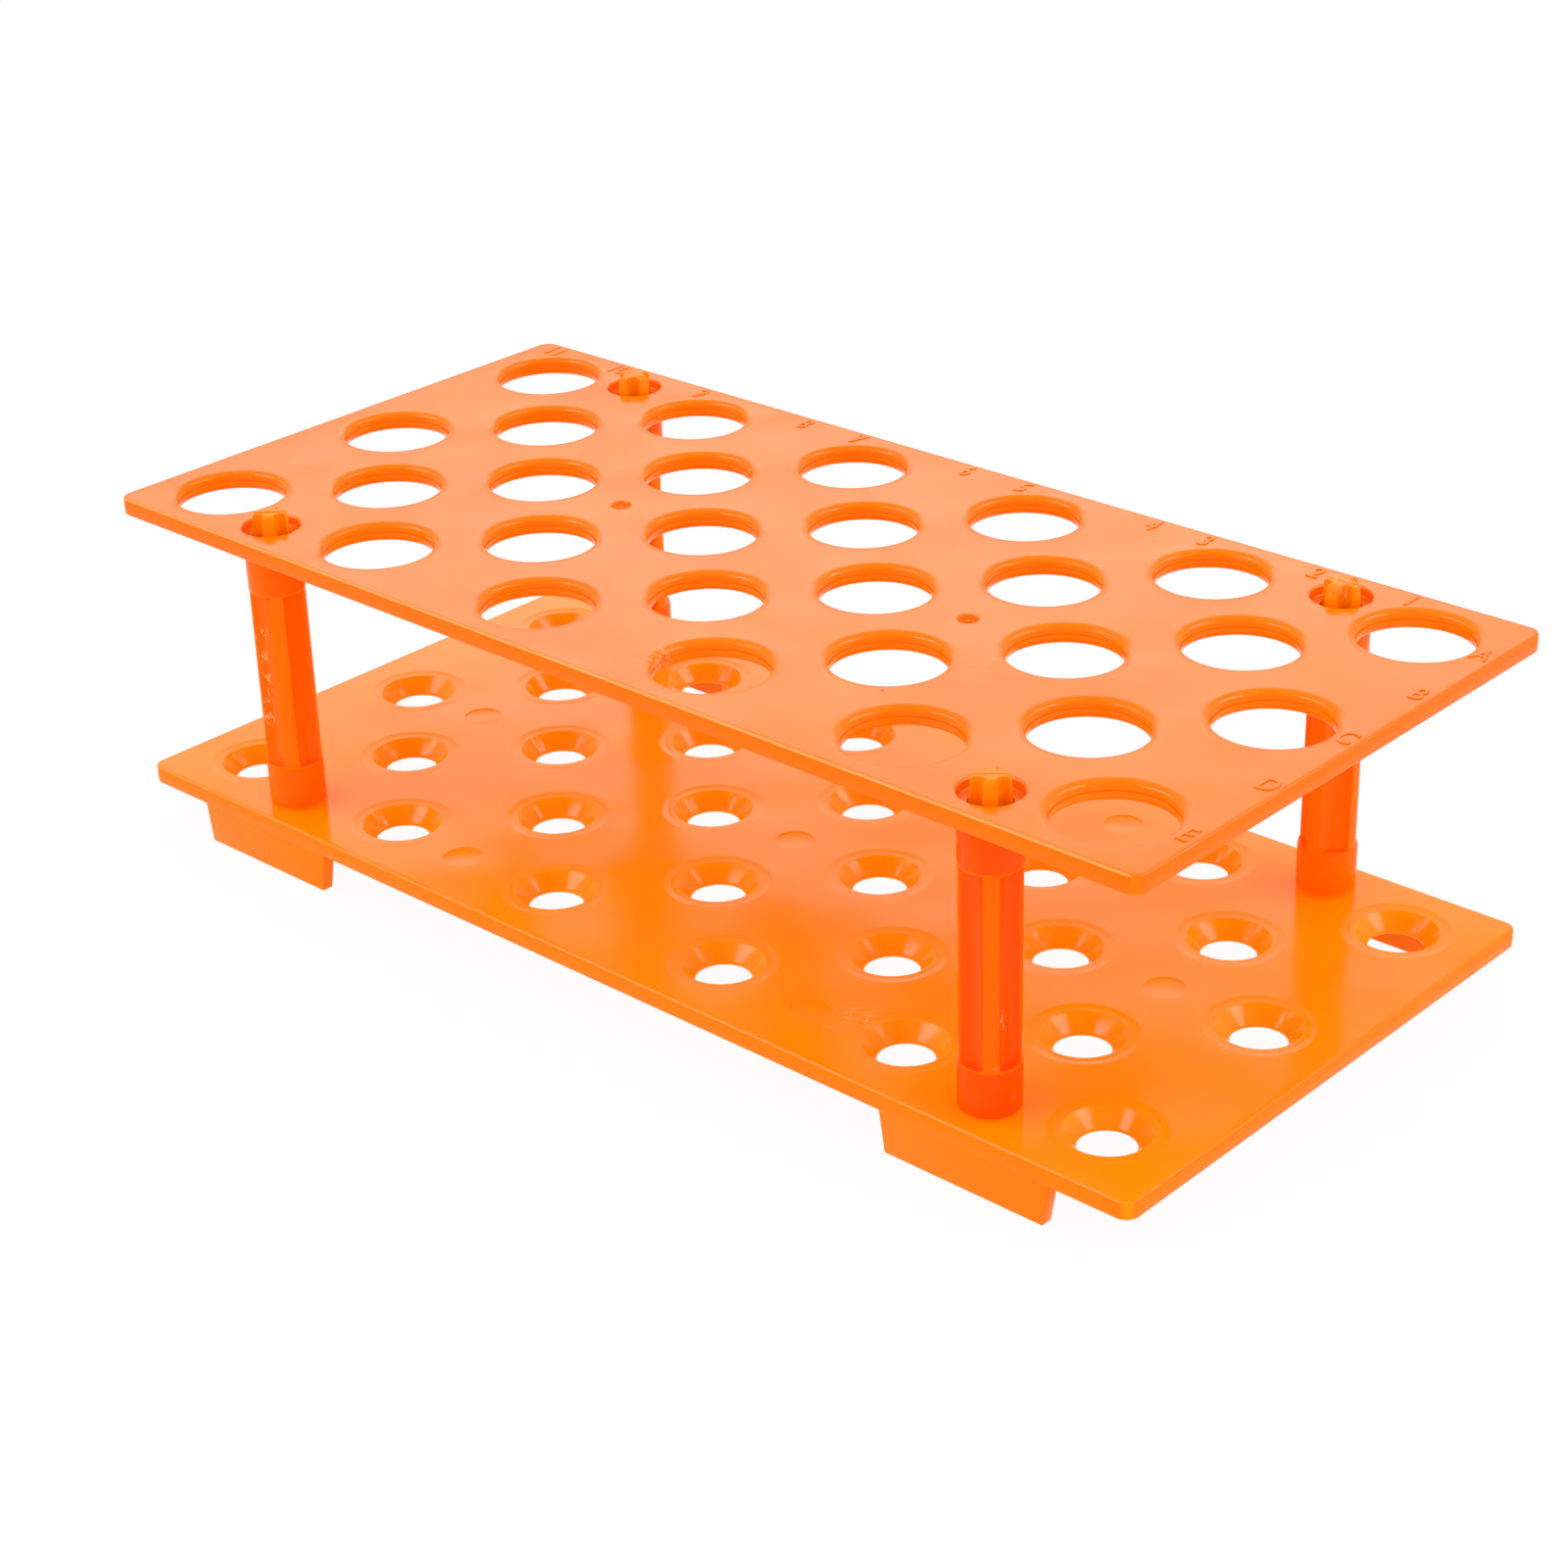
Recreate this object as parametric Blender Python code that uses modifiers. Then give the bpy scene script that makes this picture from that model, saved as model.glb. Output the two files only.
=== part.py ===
"""Centrifuge tube rack: two perforated plates held apart by four fluted posts.

Frame: metres, +Z up. The origin is on the surface that the rack stands on, under the middle of the
plates. X runs along the long side and Y from the front edge to the back edge. The upper plate guides
the tubes, the lower plate seats their tips in funnels, and each post is pegged into both plates.
"""

import math

import bmesh
import bpy
from mathutils import Matrix, Vector

MM = 0.001

# Tube stations: every second place of a grid, so that neighbouring rows are staggered.
COLUMNS = 11
ROWS = 5
COLUMN_PITCH = 17.4 * MM
ROW_PITCH = 17.4 * MM
TUBE_HOLE_DIAMETER = 17.0 * MM
TUBE_HOLE_CHAMFER = 0.7 * MM
FUNNEL_RIM_DIAMETER = 12.6 * MM
FUNNEL_THROAT_DIAMETER = 8.2 * MM
FUNNEL_THROAT_LAND = 0.5 * MM

# Plates: one outline serves both.
END_MARGIN = 13.0 * MM
PLATE_CORNER_RADIUS = 2.2 * MM
PLATE_EDGE_RADIUS = 0.6 * MM
UPPER_THICKNESS = 2.8 * MM
LOWER_THICKNESS = 2.9 * MM

# Posts: solid collars at both ends of a shank with four flutes, and past each collar a peg that narrows
# towards its tip and is fluted so deeply that a cross is left.
POST_LENGTH = 43.8 * MM
POST_COLUMN_SHIFT = 1.6 * MM
POST_ROW_OUTSET = 5.1 * MM
COLLAR_DIAMETER = 8.9 * MM
COLLAR_HEIGHT = 7.2 * MM
SHANK_DIAMETER = 8.7 * MM
SHANK_CORE_DIAMETER = 5.8 * MM
FLUTE_RUNOUT = 0.3 * MM
RIB_WIDTH = 2.1 * MM
PEG_DIAMETER = 5.9 * MM
PEG_TIP_DIAMETER = 5.3 * MM
PEG_CORE_DIAMETER = 3.3 * MM
PEG_RIB_WIDTH = 2.4 * MM
PEG_TIP_CHAMFER = 0.4 * MM
PEG_PROUD = 2.35 * MM
POST_TURN_DEGREES = {
    "post_front_left": 47.0,
    "post_front_right": 41.0,
    "post_back_left": 0.0,
    "post_back_right": 2.5,
}

# Peg seats: a round recess in each plate's outer face, with the peg's hole in its floor.
RECESS_DIAMETER = 8.9 * MM
RECESS_FLOOR = 1.3 * MM
SEAT_GAP = 0.3 * MM
PEG_CLEARANCE = 0.3 * MM

# Feet: thin walls under the lower plate's long edges, moulded on below the posts.
FOOT_GROUND_CLEARANCE = 4.3 * MM
FOOT_LENGTH = 27.3 * MM
FOOT_END_TAPER = 1.0 * MM
FOOT_COLUMN_SHIFT = 0.85 * MM
FOOT_THICKNESS = 2.2 * MM
FOOT_THICKNESS_TAPER = 0.2 * MM
FOOT_LAND = 0.35 * MM
FOOT_EDGE_INSET = 0.4 * MM
FOOT_ROOT = 1.2 * MM

# Facets and the length by which a cutter runs past the face that it cuts.
TUBE_HOLE_SEGMENTS = 24
FUNNEL_SEGMENTS = 18
SEAT_SEGMENTS = 18
POST_SEGMENTS = 20
FLUTE_SEGMENTS = 16
CORNER_SEGMENTS = 5
EDGE_SEGMENTS = 2
OVERCUT = 0.5 * MM
MERGE_DISTANCE = 0.00001
SMOOTH_ANGLE = math.radians(32.0)

# Finish: orange polypropylene, glossy from a polished mould.
UPPER_PLATE_COLOUR = "FF8A2C"
LOWER_PLATE_COLOUR = "FF7F1E"
POST_COLOUR = "FF6410"
PLASTIC_ROUGHNESS = 0.22

# Levels that follow from the sizes above.
FOOT_HEIGHT = PEG_PROUD + FOOT_GROUND_CLEARANCE
LOWER_UNDERSIDE = FOOT_HEIGHT
LOWER_TOP = LOWER_UNDERSIDE + LOWER_THICKNESS
POST_BASE = LOWER_TOP + SEAT_GAP
UPPER_UNDERSIDE = POST_BASE + POST_LENGTH + SEAT_GAP
UPPER_TOP = UPPER_UNDERSIDE + UPPER_THICKNESS

# Places that follow from the sizes above.
GRID_HALF_LENGTH = (COLUMNS - 1) * COLUMN_PITCH / 2
GRID_HALF_WIDTH = (ROWS - 1) * ROW_PITCH / 2
POST_X = GRID_HALF_LENGTH - COLUMN_PITCH + POST_COLUMN_SHIFT
POST_Y = GRID_HALF_WIDTH + POST_ROW_OUTSET
FOOT_X = POST_X + FOOT_COLUMN_SHIFT
FOOT_INNER_Y = POST_Y + RECESS_DIAMETER / 2 + FOOT_LAND
PLATE_HALF_LENGTH = GRID_HALF_LENGTH + END_MARGIN
PLATE_HALF_WIDTH = FOOT_INNER_Y + FOOT_THICKNESS + FOOT_EDGE_INSET


def clear_scene():
    """Remove every object, so that the model starts from nothing."""
    for existing in list(bpy.data.objects):
        bpy.data.objects.remove(existing, do_unlink=True)


def new_collection(name):
    """Make a collection under the scene's own."""
    collection = bpy.data.collections.new(name)
    bpy.context.scene.collection.children.link(collection)
    return collection


def linear_colour(hex_code):
    """Turn a six-digit sRGB colour into the linear values that a shader takes."""
    channels = [int(hex_code[i:i + 2], 16) / 255 for i in (0, 2, 4)]
    linear = [c / 12.92 if c <= 0.04045 else ((c + 0.055) / 1.055) ** 2.4 for c in channels]
    return (*linear, 1.0)


def plastic(name, hex_code):
    """Make the glossy moulded plastic of one kind of piece."""
    material = bpy.data.materials.new(name)
    material.use_nodes = True
    shader = material.node_tree.nodes["Principled BSDF"]
    shader.inputs["Base Color"].default_value = linear_colour(hex_code)
    shader.inputs["Roughness"].default_value = PLASTIC_ROUGHNESS
    shader.inputs["Metallic"].default_value = 0.0
    material.diffuse_color = linear_colour(hex_code)
    return material


def add_object(name, mesh, collection):
    """Put a mesh in a new object of the given collection."""
    created = bpy.data.objects.new(name, mesh)
    collection.objects.link(created)
    return created


def as_guide(shape):
    """Mark an object as a cutter or guide, which isn't part of the rack."""
    shape.hide_render = True
    shape.display_type = "WIRE"
    return shape


def evaluated_mesh(shape):
    """Return a new mesh of the object with its modifiers applied."""
    bpy.context.view_layer.update()
    depsgraph = bpy.context.evaluated_depsgraph_get()
    return bpy.data.meshes.new_from_object(shape.evaluated_get(depsgraph))


def turned_mesh(name, profile, segments, collection):
    """Turn a profile of (radius, height) points, top to bottom, about Z into a closed mesh."""
    outline = bmesh.new()
    points = [outline.verts.new((radius, 0.0, height)) for radius, height in profile]
    for upper, lower in zip(points, points[1:]):
        outline.edges.new((upper, lower))
    mesh = bpy.data.meshes.new(name)
    outline.to_mesh(mesh)
    outline.free()
    shape = add_object(name, mesh, collection)
    screw = shape.modifiers.new("Turn", "SCREW")
    screw.axis = "Z"
    screw.angle = math.tau
    screw.steps = segments
    screw.render_steps = segments
    screw.use_merge_vertices = True
    screw.merge_threshold = MERGE_DISTANCE
    solid = evaluated_mesh(shape)
    bpy.data.objects.remove(shape, do_unlink=True)
    return solid


def patterned(name, mesh, places, collection):
    """Join a copy of the mesh at each place into one cutter object."""
    pattern = bmesh.new()
    for place in places:
        before = len(pattern.verts)
        pattern.from_mesh(mesh)
        pattern.verts.ensure_lookup_table()
        bmesh.ops.transform(pattern, matrix=place, verts=pattern.verts[before:])
    joined = bpy.data.meshes.new(name)
    pattern.to_mesh(joined)
    pattern.free()
    return as_guide(add_object(name, joined, collection))


def add_boolean(shape, tool, operation):
    """Cut the tool from the shape or join it on."""
    boolean = shape.modifiers.new(f"{operation.title()} {tool.name}", "BOOLEAN")
    boolean.operation = operation
    boolean.solver = "EXACT"
    boolean.object = tool


def station_places():
    """Return the tube stations' centres, column by column, from the front row to the back."""
    return [
        Matrix.Translation((
            column * COLUMN_PITCH - GRID_HALF_LENGTH,
            row * ROW_PITCH - GRID_HALF_WIDTH,
            0.0,
        ))
        for column in range(COLUMNS)
        for row in range(ROWS)
        if (column + row) % 2 == 0
    ]


def corner_places(x, y):
    """Return the four places at equal distances from the middle of the plates."""
    return [Matrix.Translation((side * x, face * y, 0.0)) for side in (-1, 1) for face in (-1, 1)]


def plate_blank(name, underside, thickness, collection):
    """Make a plate without its holes: a slab with rounded corners and edges."""
    slab = bmesh.new()
    bmesh.ops.create_cube(slab, size=1.0)
    bmesh.ops.scale(slab, verts=slab.verts, vec=(2 * PLATE_HALF_LENGTH, 2 * PLATE_HALF_WIDTH, thickness))
    bmesh.ops.translate(slab, verts=slab.verts, vec=(0.0, 0.0, thickness / 2))
    upright = [edge for edge in slab.edges if abs(edge.verts[0].co.z - edge.verts[1].co.z) > thickness / 2]
    bmesh.ops.bevel(
        slab, geom=upright, offset=PLATE_CORNER_RADIUS, segments=CORNER_SEGMENTS, profile=0.5, affect="EDGES"
    )
    level = [edge for edge in slab.edges if abs(edge.verts[0].co.z - edge.verts[1].co.z) < thickness / 2]
    bmesh.ops.bevel(
        slab, geom=level, offset=PLATE_EDGE_RADIUS, segments=EDGE_SEGMENTS, profile=0.5, affect="EDGES"
    )
    mesh = bpy.data.meshes.new(name)
    slab.to_mesh(mesh)
    slab.free()
    plate = add_object(name, mesh, collection)
    plate.location.z = underside
    return plate


def tube_hole_cutter(guides):
    """Make the cutter of the upper plate's tube holes, chamfered at both rims."""
    radius = TUBE_HOLE_DIAMETER / 2
    flare = radius + TUBE_HOLE_CHAMFER + OVERCUT
    profile = [
        (0.0, UPPER_TOP + OVERCUT),
        (flare, UPPER_TOP + OVERCUT),
        (radius, UPPER_TOP - TUBE_HOLE_CHAMFER),
        (radius, UPPER_UNDERSIDE + TUBE_HOLE_CHAMFER),
        (flare, UPPER_UNDERSIDE - OVERCUT),
        (0.0, UPPER_UNDERSIDE - OVERCUT),
    ]
    mesh = turned_mesh("tube_hole", profile, TUBE_HOLE_SEGMENTS, guides)
    return patterned("tube_holes", mesh, station_places(), guides)


def funnel_cutter(guides):
    """Make the cutter of the lower plate's funnels, each with a short straight throat."""
    rim = FUNNEL_RIM_DIAMETER / 2
    throat = FUNNEL_THROAT_DIAMETER / 2
    slope = (rim - throat) / (LOWER_THICKNESS - FUNNEL_THROAT_LAND)
    profile = [
        (0.0, LOWER_TOP + OVERCUT),
        (rim + slope * OVERCUT, LOWER_TOP + OVERCUT),
        (throat, LOWER_UNDERSIDE + FUNNEL_THROAT_LAND),
        (throat, LOWER_UNDERSIDE - OVERCUT),
        (0.0, LOWER_UNDERSIDE - OVERCUT),
    ]
    mesh = turned_mesh("funnel", profile, FUNNEL_SEGMENTS, guides)
    return patterned("funnels", mesh, station_places(), guides)


def peg_seat_cutter(name, inner_face, outer_face, guides):
    """Make the cutter of one plate's peg seats, from its inner to its outer face."""
    outward = 1 if outer_face > inner_face else -1
    hole = PEG_DIAMETER / 2 + PEG_CLEARANCE
    recess = RECESS_DIAMETER / 2
    profile = [
        (0.0, outer_face + outward * OVERCUT),
        (recess, outer_face + outward * OVERCUT),
        (recess, inner_face + outward * RECESS_FLOOR),
        (hole, inner_face + outward * RECESS_FLOOR),
        (hole, inner_face - outward * OVERCUT),
        (0.0, inner_face - outward * OVERCUT),
    ]
    if outward < 0:
        profile.reverse()
    mesh = turned_mesh(name, profile, SEAT_SEGMENTS, guides)
    return patterned(f"{name}s", mesh, corner_places(POST_X, POST_Y), guides)


def foot_walls(guides):
    """Make the four feet: walls that narrow towards the ground, rooted in the lower plate."""
    root_z = LOWER_UNDERSIDE + FOOT_ROOT
    grow = root_z / FOOT_HEIGHT
    wall = bmesh.new()
    bmesh.ops.create_cube(wall, size=1.0)
    for corner in wall.verts:
        at_root = corner.co.z > 0
        half_length = FOOT_LENGTH / 2 + (grow * FOOT_END_TAPER if at_root else 0.0)
        inner_face = FOOT_INNER_Y + (0.0 if at_root else FOOT_THICKNESS_TAPER)
        outer_face = FOOT_INNER_Y + FOOT_THICKNESS
        corner.co = Vector((
            math.copysign(half_length, corner.co.x),
            outer_face if corner.co.y > 0 else inner_face,
            root_z if at_root else 0.0,
        ))
    mesh = bpy.data.meshes.new("foot_wall")
    wall.to_mesh(mesh)
    wall.free()
    back = [Matrix.Translation((side * FOOT_X, 0.0, 0.0)) for side in (-1, 1)]
    front = [Matrix.Rotation(math.pi, 4, "Z") @ place for place in back]
    return patterned("foot_walls", mesh, back + front, guides)


def flute_circle(rib_circle_diameter, core_diameter, rib_width):
    """Return how far from the post's axis a flute's own axis lies, and the flute's radius.

    The flute's arc touches the core circle midway between two ribs and meets the ribs' outer circle
    at the ribs' edges.
    """
    outer = rib_circle_diameter / 2
    core = core_diameter / 2
    half_angle = math.radians(45.0) - math.asin(rib_width / 2 / outer)
    along = outer * math.cos(half_angle)
    distance = (outer ** 2 - core ** 2) / (2 * (along - core))
    return distance, distance - core


def flute_cutter(name, section, bottom, top, guides):
    """Make four round bars that cut flutes of the given section between two heights."""
    distance, radius = flute_circle(*section)
    bar = bmesh.new()
    bmesh.ops.create_cone(
        bar, cap_ends=True, segments=FLUTE_SEGMENTS, radius1=radius, radius2=radius, depth=top - bottom
    )
    mesh = bpy.data.meshes.new(name)
    bar.to_mesh(mesh)
    bar.free()
    middle = Matrix.Translation((distance, 0.0, (bottom + top) / 2))
    turns = [Matrix.Rotation(math.radians(45.0 + 90.0 * quarter), 4, "Z") for quarter in range(4)]
    return patterned(f"{name}_bars", mesh, [turn @ middle for turn in turns], guides)


def peg_reach(plate_thickness):
    """Return how far a peg stands out of its collar, through the plate and past its outer face."""
    return SEAT_GAP + plate_thickness + PEG_PROUD


def post_mesh(guides):
    """Make the mesh that the four posts share, with its lower shoulder at the origin."""
    peg = PEG_DIAMETER / 2
    peg_end = PEG_TIP_DIAMETER / 2
    tip = peg_end - PEG_TIP_CHAMFER
    collar = COLLAR_DIAMETER / 2
    shank = SHANK_DIAMETER / 2
    top_tip = POST_LENGTH + peg_reach(UPPER_THICKNESS)
    bottom_tip = -peg_reach(LOWER_THICKNESS)
    profile = [
        (0.0, top_tip),
        (tip, top_tip),
        (peg_end, top_tip - PEG_TIP_CHAMFER),
        (peg, POST_LENGTH),
        (collar, POST_LENGTH),
        (collar, POST_LENGTH - COLLAR_HEIGHT),
        (shank, POST_LENGTH - COLLAR_HEIGHT),
        (shank, COLLAR_HEIGHT),
        (collar, COLLAR_HEIGHT),
        (collar, 0.0),
        (peg, 0.0),
        (peg_end, bottom_tip + PEG_TIP_CHAMFER),
        (tip, bottom_tip),
        (0.0, bottom_tip),
    ]
    post = add_object("post_blank", turned_mesh("post_turning", profile, POST_SEGMENTS, guides), guides)
    shank_section = (SHANK_DIAMETER, SHANK_CORE_DIAMETER, RIB_WIDTH)
    peg_section = (PEG_DIAMETER, PEG_CORE_DIAMETER, PEG_RIB_WIDTH)
    flute_ends = (COLLAR_HEIGHT + FLUTE_RUNOUT, POST_LENGTH - COLLAR_HEIGHT - FLUTE_RUNOUT)
    cutters = [
        flute_cutter("shank_flute", shank_section, *flute_ends, guides),
        flute_cutter("upper_peg_flute", peg_section, POST_LENGTH + SEAT_GAP, top_tip + OVERCUT, guides),
        flute_cutter("lower_peg_flute", peg_section, bottom_tip - OVERCUT, -SEAT_GAP, guides),
    ]
    for cutter in cutters:
        add_boolean(post, cutter, "DIFFERENCE")
    mesh = evaluated_mesh(post)
    mesh.name = "post"
    for used in [post, *cutters]:
        bpy.data.objects.remove(used, do_unlink=True)
    return mesh


def finish(piece, material):
    """Give a piece its material and smooth shading between its real edges."""
    mesh = piece.data
    if not mesh.materials:
        mesh.materials.append(material)
    mesh.shade_smooth()
    mesh.set_sharp_from_angle(angle=SMOOTH_ANGLE)


def build_upper_plate(parts, guides):
    """Build the plate that guides the tubes."""
    plate = plate_blank("upper_plate", UPPER_UNDERSIDE, UPPER_THICKNESS, parts)
    add_boolean(plate, tube_hole_cutter(guides), "DIFFERENCE")
    add_boolean(plate, peg_seat_cutter("upper_peg_seat", UPPER_UNDERSIDE, UPPER_TOP, guides), "DIFFERENCE")
    finish(plate, plastic("upper_plate_polypropylene", UPPER_PLATE_COLOUR))


def build_lower_plate(parts, guides):
    """Build the plate that seats the tubes' tips, with its feet."""
    plate = plate_blank("lower_plate", LOWER_UNDERSIDE, LOWER_THICKNESS, parts)
    add_boolean(plate, foot_walls(guides), "UNION")
    add_boolean(plate, funnel_cutter(guides), "DIFFERENCE")
    add_boolean(plate, peg_seat_cutter("lower_peg_seat", LOWER_TOP, LOWER_UNDERSIDE, guides), "DIFFERENCE")
    finish(plate, plastic("lower_plate_polypropylene", LOWER_PLATE_COLOUR))


def build_posts(parts, guides):
    """Build the four posts, each turned about its own axis as it was pressed in."""
    mesh = post_mesh(guides)
    material = plastic("post_polypropylene", POST_COLOUR)
    for name, degrees in POST_TURN_DEGREES.items():
        post = add_object(name, mesh, parts)
        post.location = (
            POST_X if name.endswith("right") else -POST_X,
            POST_Y if "back" in name else -POST_Y,
            POST_BASE,
        )
        post.rotation_euler.z = math.radians(degrees)
        finish(post, material)


def main():
    """Build the rack."""
    clear_scene()
    parts = new_collection("centrifuge_tube_rack")
    guides = new_collection("cutters")
    build_upper_plate(parts, guides)
    build_lower_plate(parts, guides)
    build_posts(parts, guides)
    guides.hide_render = True


main()
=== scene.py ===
"""Looks of the centrifuge tube rack: glossy orange mouldings on a plain pale floor.

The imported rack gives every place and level. Each moulding is made again with fine edges, rounded rims
and mould marks, and stands for its solid. Sizes are in metres, written as millimetres times MM.
"""

import logging
import math
from collections.abc import Iterable, Sequence
from dataclasses import dataclass, field, replace
from enum import Enum
from functools import cached_property

import bmesh
import bpy
from mathutils import Matrix, Vector


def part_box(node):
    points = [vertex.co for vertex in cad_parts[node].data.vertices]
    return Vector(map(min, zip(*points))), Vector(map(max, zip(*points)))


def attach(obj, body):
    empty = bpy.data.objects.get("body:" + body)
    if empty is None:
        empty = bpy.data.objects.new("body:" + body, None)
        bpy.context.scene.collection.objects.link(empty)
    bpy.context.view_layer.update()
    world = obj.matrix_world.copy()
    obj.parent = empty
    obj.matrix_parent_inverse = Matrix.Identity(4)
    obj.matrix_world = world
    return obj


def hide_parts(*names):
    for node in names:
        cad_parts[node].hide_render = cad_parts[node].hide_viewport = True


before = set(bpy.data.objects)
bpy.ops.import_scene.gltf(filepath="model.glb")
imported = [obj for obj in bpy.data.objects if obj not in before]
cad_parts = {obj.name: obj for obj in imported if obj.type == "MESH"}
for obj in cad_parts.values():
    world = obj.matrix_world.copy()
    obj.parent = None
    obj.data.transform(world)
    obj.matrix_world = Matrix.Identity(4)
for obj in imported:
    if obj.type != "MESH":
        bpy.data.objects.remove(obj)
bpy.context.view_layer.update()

log = logging.getLogger("tube_rack")

MM = 0.001
BODY = "root"
TOUCH = 0.001 * MM

Point = tuple[float, float]
Place = tuple[float, float, float]
Hex = str
Socket = bpy.types.NodeSocket


class Corner(Enum):
    """The rack's four corners, each with its post's node and the turn at which the post was pressed in."""

    FRONT_LEFT = ("post_front_left", -1, -1, 47.0)
    FRONT_RIGHT = ("post_front_right", 1, -1, 41.0)
    BACK_LEFT = ("post_back_left", -1, 1, 0.0)
    BACK_RIGHT = ("post_back_right", 1, 1, 2.5)

    def __init__(self, node: str, side: int, depth: int, turn_degrees: float) -> None:
        """Keep the post's node, its side (1 is right), its depth (1 is the back) and its turn."""
        self.node, self.side, self.depth = node, side, depth
        self.turn = math.radians(turn_degrees)


def linear(code: Hex) -> tuple[float, float, float, float]:
    """Turn an sRGB hex colour into linear values.

    Args:
        code: Six hex digits.

    Returns:
        Red, green, blue and alpha, as a shader takes them.
    """
    channels = [int(code[place:place + 2], 16) / 255 for place in (0, 2, 4)]
    values = [c / 12.92 if c <= 0.04045 else ((c + 0.055) / 1.055) ** 2.4 for c in channels]
    return (*values, 1.0)


class Sheet:
    """A shader's nodes in the making."""

    def __init__(self, tree: bpy.types.NodeTree, coordinates: str = "Object") -> None:
        """Keep the shader's tree and the coordinates that its patterns follow."""
        self.tree = tree
        self.coordinates = coordinates

    @cached_property
    def place(self) -> Socket:
        """Give the place of each point."""
        return self.add("TexCoord", out=self.coordinates)

    @cached_property
    def quarter(self) -> Socket:
        """Give the place of each point, folded onto one quarter of the rack, as all four are alike."""
        return self.add("VectorMath", (self.place,), operation="ABSOLUTE")

    def add(
        self, kind: str, inputs: Sequence | dict = (), out: int | str = 0, **settings: str | bool
    ) -> Socket | None:
        """Add a node with its settings and links.

        Args:
            kind: The node's type, without the word ShaderNode.
            inputs: A value or another node's output for each input, in order, or by name or number.
            out: Which output to give.
            **settings: The node's other settings.

        Returns:
            The output, or None where the node has none.
        """
        node = self.tree.nodes.new(f"ShaderNode{kind}")
        for name, value in settings.items():
            setattr(node, name, value)
        for key, value in inputs.items() if isinstance(inputs, dict) else enumerate(inputs):
            if isinstance(value, Socket):
                self.tree.links.new(value, node.inputs[key])
            else:
                node.inputs[key].default_value = value
        return node.outputs[out] if node.outputs else None


@dataclass(frozen=True)
class Spot:
    """A small patch on a moulding, in millimetres: fine pale scratches, or a fleck of unmixed pigment."""

    x: float
    y: float
    z: float
    reach: float
    strength: float = 1.0
    core_share: float = 0.4

    @property
    def place(self) -> Place:
        """Give the patch's middle in metres."""
        return self.x * MM, self.y * MM, self.z * MM


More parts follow.
